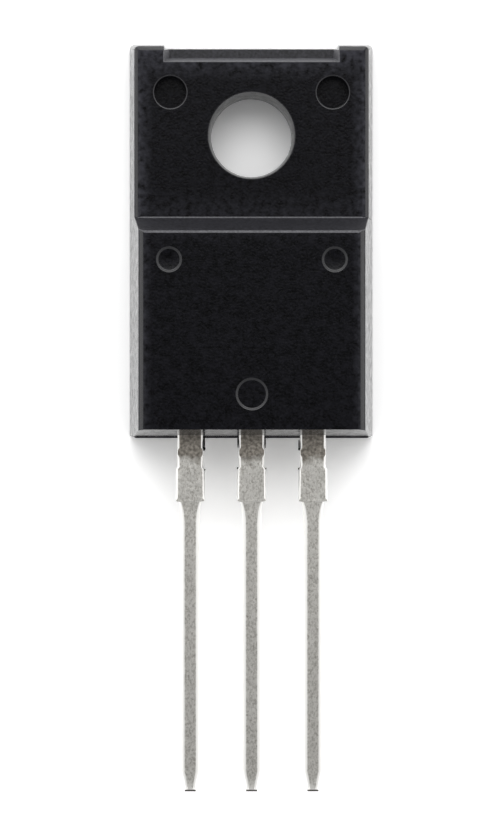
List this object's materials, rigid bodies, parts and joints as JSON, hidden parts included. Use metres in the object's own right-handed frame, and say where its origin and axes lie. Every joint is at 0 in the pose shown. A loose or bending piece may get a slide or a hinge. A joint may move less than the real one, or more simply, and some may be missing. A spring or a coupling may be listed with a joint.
{
  "type": "power transistor",
  "caption": "Fully moulded power transistor lying on its rear face, with a drafted black housing, a screw hole in its thin tab and flat tinned leads.",
  "frame": {"origin": "on the axis of the screw hole, in the plane of the rear mounting face", "axes": "+Z out of the front face, along the screw hole; +X to the right seen from the front; the leads run along -Y"},
  "size_m": [0.0102, 0.0311, 0.0046],
  "materials": {
    "epoxy_moulding": "matte black mould compound with a fine spark-eroded texture",
    "tinned_copper": "dull tin plating on a copper alloy",
    "solder": "solder",
    "silicon": "polished silicon",
    "bond_wire": "drawn aluminium wire"
  },
  "bodies": {
    "root": {"moulded_body": "epoxy_moulding", "collector_lead": "tinned_copper", "base_lead": "tinned_copper", "emitter_lead": "tinned_copper", "die_attach": "solder", "silicon_die": "silicon", "base_wire": "bond_wire", "emitter_wire": "bond_wire"}
  },
  "joints": []
}
